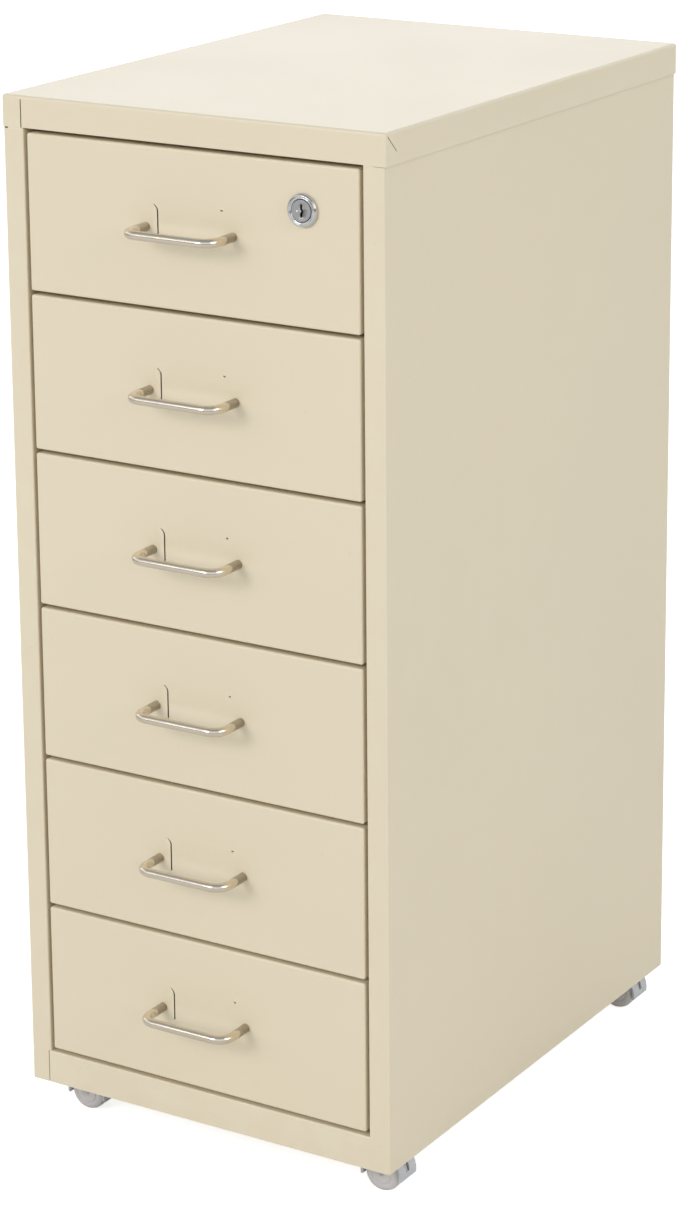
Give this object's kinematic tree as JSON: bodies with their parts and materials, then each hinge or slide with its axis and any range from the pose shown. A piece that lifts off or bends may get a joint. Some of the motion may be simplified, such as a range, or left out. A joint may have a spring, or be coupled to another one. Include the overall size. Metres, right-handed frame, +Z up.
{
  "type": "drawer cabinet",
  "caption": "Narrow sheet-steel filing cabinet with a column of equal drawers, bent-wire pulls, a cam lock in the top drawer and small swivel castors.",
  "frame": {"origin": "on the floor, under the middle of the overall box from the pulls to the back of the cover", "axes": "+X to the right seen from the front, drawer fronts face -Y, +Z up"},
  "size_m": [0.28, 0.4079, 0.69],
  "materials": {
    "cabinet_paint": "satin cream powder coat",
    "tray_paint": "satin cream powder coat",
    "handle_metal": "polished nickel-plated wire",
    "lock_chrome": "bright chrome",
    "zinc_plate": "bright zinc plate",
    "castor_hood": "semi-gloss grey plastic",
    "castor_wheel": "smooth grey plastic"
  },
  "bodies": {
    "cabinet": {"top_cover": "cabinet_paint", "left_side_panel": "cabinet_paint", "right_side_panel": "cabinet_paint", "back_panel": "cabinet_paint", "base_panel": "cabinet_paint", "left_runner_1": "zinc_plate", "right_runner_1": "zinc_plate", "left_runner_2": "zinc_plate", "right_runner_2": "zinc_plate", "left_runner_3": "zinc_plate", "right_runner_3": "zinc_plate", "left_runner_4": "zinc_plate", "right_runner_4": "zinc_plate", "left_runner_5": "zinc_plate", "right_runner_5": "zinc_plate", "left_runner_6": "zinc_plate", "right_runner_6": "zinc_plate", "front_left_castor_plate": "zinc_plate", "front_right_castor_plate": "zinc_plate", "rear_left_castor_plate": "zinc_plate", "rear_right_castor_plate": "zinc_plate"},
    "drawer_1": {"drawer_1_front": "cabinet_paint", "drawer_1_tray": "tray_paint", "drawer_1_handle": "handle_metal", "lock_housing": "lock_chrome", "lock_nut": "zinc_plate"},
    "drawer_2": {"drawer_2_front": "cabinet_paint", "drawer_2_tray": "tray_paint", "drawer_2_handle": "handle_metal"},
    "drawer_3": {"drawer_3_front": "cabinet_paint", "drawer_3_tray": "tray_paint", "drawer_3_handle": "handle_metal"},
    "drawer_4": {"drawer_4_front": "cabinet_paint", "drawer_4_tray": "tray_paint", "drawer_4_handle": "handle_metal"},
    "drawer_5": {"drawer_5_front": "cabinet_paint", "drawer_5_tray": "tray_paint", "drawer_5_handle": "handle_metal"},
    "drawer_6": {"drawer_6_front": "cabinet_paint", "drawer_6_tray": "tray_paint", "drawer_6_handle": "handle_metal"},
    "lock_barrel": {"lock_plug": "lock_chrome", "lock_cam": "zinc_plate"},
    "front_left_castor": {"front_left_castor_hood": "castor_hood", "front_left_castor_axle": "zinc_plate"},
    "front_left_castor_left_wheel": {"front_left_castor_left_wheel": "castor_wheel"},
    "front_left_castor_right_wheel": {"front_left_castor_right_wheel": "castor_wheel"},
    "front_right_castor": {"front_right_castor_hood": "castor_hood", "front_right_castor_axle": "zinc_plate"},
    "front_right_castor_left_wheel": {"front_right_castor_left_wheel": "castor_wheel"},
    "front_right_castor_right_wheel": {"front_right_castor_right_wheel": "castor_wheel"},
    "rear_left_castor": {"rear_left_castor_hood": "castor_hood", "rear_left_castor_axle": "zinc_plate"},
    "rear_left_castor_left_wheel": {"rear_left_castor_left_wheel": "castor_wheel"},
    "rear_left_castor_right_wheel": {"rear_left_castor_right_wheel": "castor_wheel"},
    "rear_right_castor": {"rear_right_castor_hood": "castor_hood", "rear_right_castor_axle": "zinc_plate"},
    "rear_right_castor_left_wheel": {"rear_right_castor_left_wheel": "castor_wheel"},
    "rear_right_castor_right_wheel": {"rear_right_castor_right_wheel": "castor_wheel"}
  },
  "joints": [
    {"name": "drawer_1_slide", "type": "slide", "parent": "cabinet", "child": "drawer_1", "axis": [0, -1, 0], "range_m": [0, 0.28]},
    {"name": "drawer_2_slide", "type": "slide", "parent": "cabinet", "child": "drawer_2", "axis": [0, -1, 0], "range_m": [0, 0.28]},
    {"name": "drawer_3_slide", "type": "slide", "parent": "cabinet", "child": "drawer_3", "axis": [0, -1, 0], "range_m": [0, 0.28]},
    {"name": "drawer_4_slide", "type": "slide", "parent": "cabinet", "child": "drawer_4", "axis": [0, -1, 0], "range_m": [0, 0.28]},
    {"name": "drawer_5_slide", "type": "slide", "parent": "cabinet", "child": "drawer_5", "axis": [0, -1, 0], "range_m": [0, 0.28]},
    {"name": "drawer_6_slide", "type": "slide", "parent": "cabinet", "child": "drawer_6", "axis": [0, -1, 0], "range_m": [0, 0.28]},
    {"name": "lock_turn", "type": "hinge", "parent": "drawer_1", "child": "lock_barrel", "pos_m": [0.0825, -0.165, 0.6385], "axis": [0, 1, 0], "range_deg": [0, 90]},
    {"name": "front_left_castor_swivel", "type": "hinge", "parent": "cabinet", "child": "front_left_castor", "pos_m": [-0.115, -0.148, 0.04], "axis": [0, 0, 1], "continuous": true},
    {"name": "front_left_castor_left_wheel_roll", "type": "hinge", "parent": "front_left_castor", "child": "front_left_castor_left_wheel", "pos_m": [-0.109, -0.148, 0.0125], "axis": [0, 1, 0], "continuous": true},
    {"name": "front_left_castor_right_wheel_roll", "type": "hinge", "parent": "front_left_castor", "child": "front_left_castor_right_wheel", "pos_m": [-0.109, -0.148, 0.0125], "axis": [0, 1, 0], "continuous": true},
    {"name": "front_right_castor_swivel", "type": "hinge", "parent": "cabinet", "child": "front_right_castor", "pos_m": [0.115, -0.148, 0.04], "axis": [0, 0, 1], "continuous": true},
    {"name": "front_right_castor_left_wheel_roll", "type": "hinge", "parent": "front_right_castor", "child": "front_right_castor_left_wheel", "pos_m": [0.121, -0.148, 0.0125], "axis": [0, 1, 0], "continuous": true},
    {"name": "front_right_castor_right_wheel_roll", "type": "hinge", "parent": "front_right_castor", "child": "front_right_castor_right_wheel", "pos_m": [0.121, -0.148, 0.0125], "axis": [0, 1, 0], "continuous": true},
    {"name": "rear_left_castor_swivel", "type": "hinge", "parent": "cabinet", "child": "rear_left_castor", "pos_m": [-0.115, 0.176, 0.04], "axis": [0, 0, 1], "continuous": true},
    {"name": "rear_left_castor_left_wheel_roll", "type": "hinge", "parent": "rear_left_castor", "child": "rear_left_castor_left_wheel", "pos_m": [-0.109, 0.176, 0.0125], "axis": [0, 1, 0], "continuous": true},
    {"name": "rear_left_castor_right_wheel_roll", "type": "hinge", "parent": "rear_left_castor", "child": "rear_left_castor_right_wheel", "pos_m": [-0.109, 0.176, 0.0125], "axis": [0, 1, 0], "continuous": true},
    {"name": "rear_right_castor_swivel", "type": "hinge", "parent": "cabinet", "child": "rear_right_castor", "pos_m": [0.115, 0.176, 0.04], "axis": [0, 0, 1], "continuous": true},
    {"name": "rear_right_castor_left_wheel_roll", "type": "hinge", "parent": "rear_right_castor", "child": "rear_right_castor_left_wheel", "pos_m": [0.121, 0.176, 0.0125], "axis": [0, 1, 0], "continuous": true},
    {"name": "rear_right_castor_right_wheel_roll", "type": "hinge", "parent": "rear_right_castor", "child": "rear_right_castor_right_wheel", "pos_m": [0.121, 0.176, 0.0125], "axis": [0, 1, 0], "continuous": true}
  ]
}
